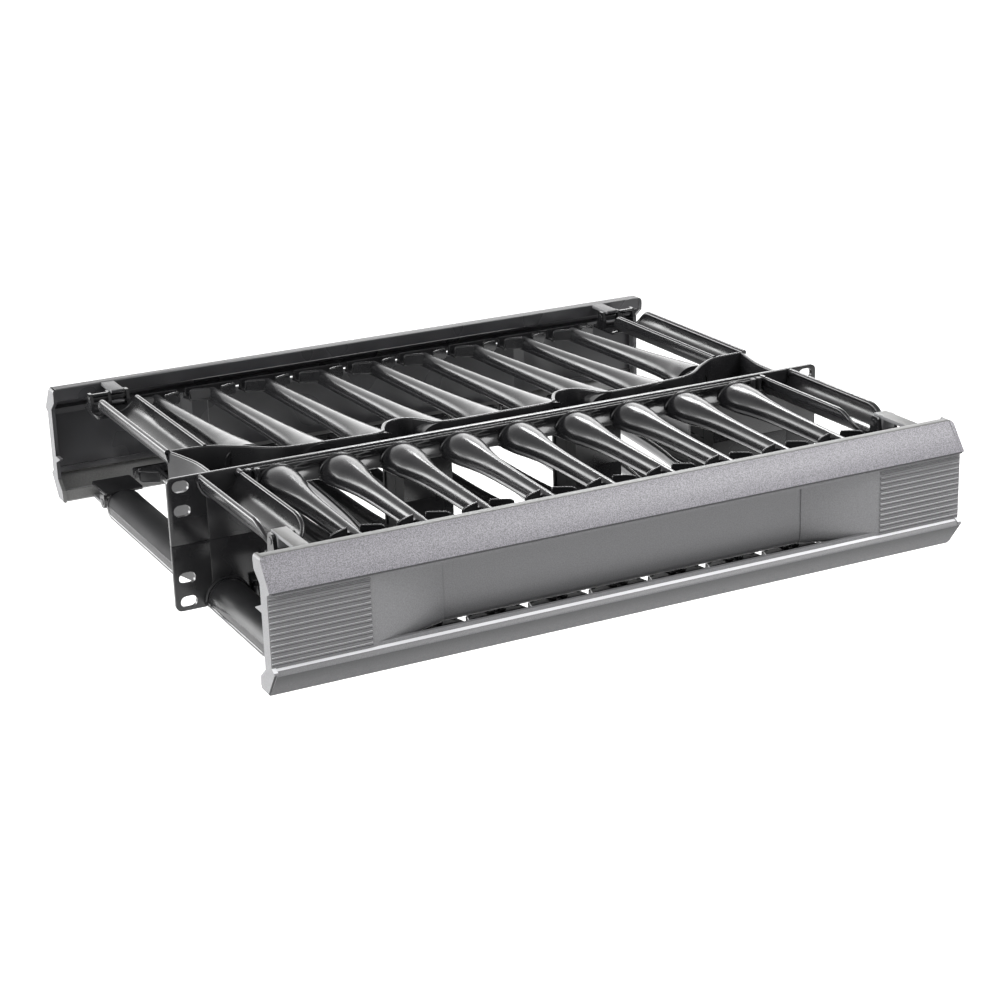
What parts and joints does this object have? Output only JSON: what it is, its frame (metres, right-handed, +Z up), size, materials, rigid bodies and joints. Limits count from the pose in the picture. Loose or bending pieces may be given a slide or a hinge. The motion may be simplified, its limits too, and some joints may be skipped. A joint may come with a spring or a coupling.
{
  "type": "horizontal cable manager",
  "caption": "Double-sided two-unit rack cable manager with curved fingers front and rear, pass-through openings and a hinged cover that clips on at each side.",
  "frame": {"origin": "centre of the plane on which the two mounting ears seat against the rack rails", "axes": "+X to the right along the rack's width seen from the front, +Y from the front to the rear of the rack, +Z up"},
  "size_m": [0.4826, 0.43, 0.088],
  "materials": {
    "frame": "gloss",
    "cover": "satin",
    "clip": "gloss",
    "pin": "gloss"
  },
  "bodies": {
    "frame": {"front_upper_frame": "frame", "front_lower_frame": "frame", "rear_upper_frame": "frame", "rear_lower_frame": "frame", "front_upper_left_hinge_clip": "clip", "front_upper_right_hinge_clip": "clip", "front_lower_left_hinge_clip": "clip", "front_lower_right_hinge_clip": "clip", "rear_upper_left_hinge_clip": "clip", "rear_upper_right_hinge_clip": "clip", "rear_lower_left_hinge_clip": "clip", "rear_lower_right_hinge_clip": "clip", "front_upper_left_hinge_pin": "pin", "front_upper_right_hinge_pin": "pin", "front_lower_left_hinge_pin": "pin", "front_lower_right_hinge_pin": "pin", "rear_upper_left_hinge_pin": "pin", "rear_upper_right_hinge_pin": "pin", "rear_lower_left_hinge_pin": "pin", "rear_lower_right_hinge_pin": "pin"},
    "front_cover": {"front_cover": "cover"},
    "rear_cover": {"rear_cover": "cover"}
  },
  "joints": [
    {"name": "front_cover_hinge", "type": "hinge", "parent": "frame", "child": "front_cover", "pos_m": [0, -0.1213, 0.037], "axis": [-1, 0, 0], "range_deg": [0, 110]},
    {"name": "rear_cover_hinge", "type": "hinge", "parent": "frame", "child": "rear_cover", "pos_m": [0, 0.2183, 0.037], "axis": [1, 0, 0], "range_deg": [0, 110]}
  ]
}
